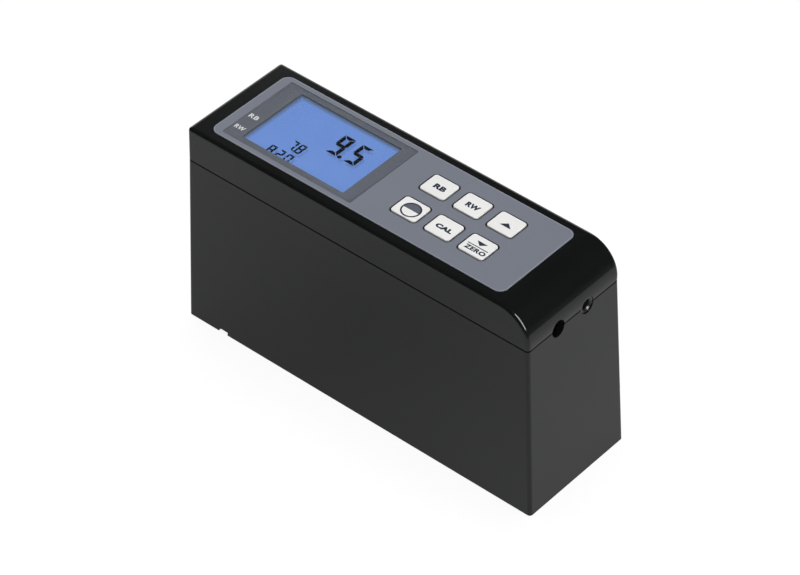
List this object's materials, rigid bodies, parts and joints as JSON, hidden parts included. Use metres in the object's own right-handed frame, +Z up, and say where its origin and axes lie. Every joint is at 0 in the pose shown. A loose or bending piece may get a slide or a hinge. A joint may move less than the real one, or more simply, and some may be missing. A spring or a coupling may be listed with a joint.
{
  "type": "reflectance meter",
  "caption": "Hand-held box-shaped reflectance meter with a backlit display, a small keypad, two end sockets and optics over a measuring aperture in the base.",
  "frame": {"origin": "centre of the underside that stands on the sample", "axes": "+X along the meter towards the end with the sockets, +Z up; the display reads along +X"},
  "size_m": [0.1398, 0.046, 0.0764],
  "materials": {
    "housing_plastic": "fine spark texture, dark",
    "cover_plastic": "satin black",
    "black_plate": "black anodised",
    "panel_grey": "printed film, satin",
    "clear_window": "clear, hard coated",
    "mask_print": "printed, matt",
    "key_white": "satin, pad printed",
    "switch_black": "moulded",
    "display_blue": "lit from behind",
    "light_guide": "translucent white",
    "contact_rubber": "soft",
    "frame_black": "moulded",
    "board_green": "lacquered laminate",
    "screw_steel": "zinc plated",
    "optics_black": "matt black anodised",
    "lamp_glass": "clear",
    "lens_glass": "polished",
    "filter_glass": "tinted",
    "sensor_metal": "plated can",
    "socket_black": "moulded",
    "jack_metal": "black nickel plating",
    "holder_plastic": "moulded",
    "cell_jacket": "printed jacket",
    "contact_steel": "nickel plated",
    "lead_red": "smooth insulation",
    "chip_black": "moulded",
    "cable_grey": "flat cable"
  },
  "bodies": {
    "casing": {"lower_housing": "housing_plastic", "top_cover": "cover_plastic", "base_plate": "black_plate", "front_overlay": "panel_grey", "display_window": "clear_window", "display_mask": "mask_print", "key_switches": "switch_black", "lcd_glass": "display_blue", "lcd_backlight": "light_guide", "lcd_connectors": "contact_rubber", "lcd_frame": "frame_black", "main_board": "board_green", "board_parts": "chip_black", "board_screws": "screw_steel", "cover_screws": "screw_steel", "base_screws": "screw_steel", "aperture_ring": "black_plate", "optics_block": "optics_black", "optics_screws": "screw_steel", "lamp": "lamp_glass", "lamp_lens": "lens_glass", "lamp_board": "board_green", "lamp_screws": "screw_steel", "sensor_filters": "filter_glass", "light_sensors": "sensor_metal", "power_socket": "socket_black", "serial_jack": "jack_metal", "connector_board": "board_green", "connector_screw": "screw_steel", "battery_holder": "holder_plastic", "battery_cells": "cell_jacket", "battery_contacts": "contact_steel", "battery_leads": "lead_red", "ribbon_cable": "cable_grey", "sensor_cable": "cable_grey"},
    "key_rb_body": {"key_rb": "key_white"},
    "key_rw_body": {"key_rw": "key_white"},
    "key_up_body": {"key_up": "key_white"},
    "key_contrast_body": {"key_contrast": "key_white"},
    "key_cal_body": {"key_cal": "key_white"},
    "key_zero_body": {"key_zero": "key_white"},
    "battery_door_body": {"battery_door": "housing_plastic"}
  },
  "joints": [
    {"name": "key_rb_press", "type": "slide", "parent": "casing", "child": "key_rb_body", "axis": [0, 0, -1], "range_m": [0, 0.00055], "stiffness_N_per_m": 1200, "springref_m": -0.0006},
    {"name": "key_rw_press", "type": "slide", "parent": "casing", "child": "key_rw_body", "axis": [0, 0, -1], "range_m": [0, 0.00055], "stiffness_N_per_m": 1200, "springref_m": -0.0006},
    {"name": "key_up_press", "type": "slide", "parent": "casing", "child": "key_up_body", "axis": [0, 0, -1], "range_m": [0, 0.00055], "stiffness_N_per_m": 1200, "springref_m": -0.0006},
    {"name": "key_contrast_press", "type": "slide", "parent": "casing", "child": "key_contrast_body", "axis": [0, 0, -1], "range_m": [0, 0.00055], "stiffness_N_per_m": 1200, "springref_m": -0.0006},
    {"name": "key_cal_press", "type": "slide", "parent": "casing", "child": "key_cal_body", "axis": [0, 0, -1], "range_m": [0, 0.00055], "stiffness_N_per_m": 1200, "springref_m": -0.0006},
    {"name": "key_zero_press", "type": "slide", "parent": "casing", "child": "key_zero_body", "axis": [0, 0, -1], "range_m": [0, 0.00055], "stiffness_N_per_m": 1200, "springref_m": -0.0006},
    {"name": "battery_door_lift", "type": "slide", "parent": "casing", "child": "battery_door_body", "axis": [0, 0, -1], "range_m": [0, 0.012]}
  ]
}
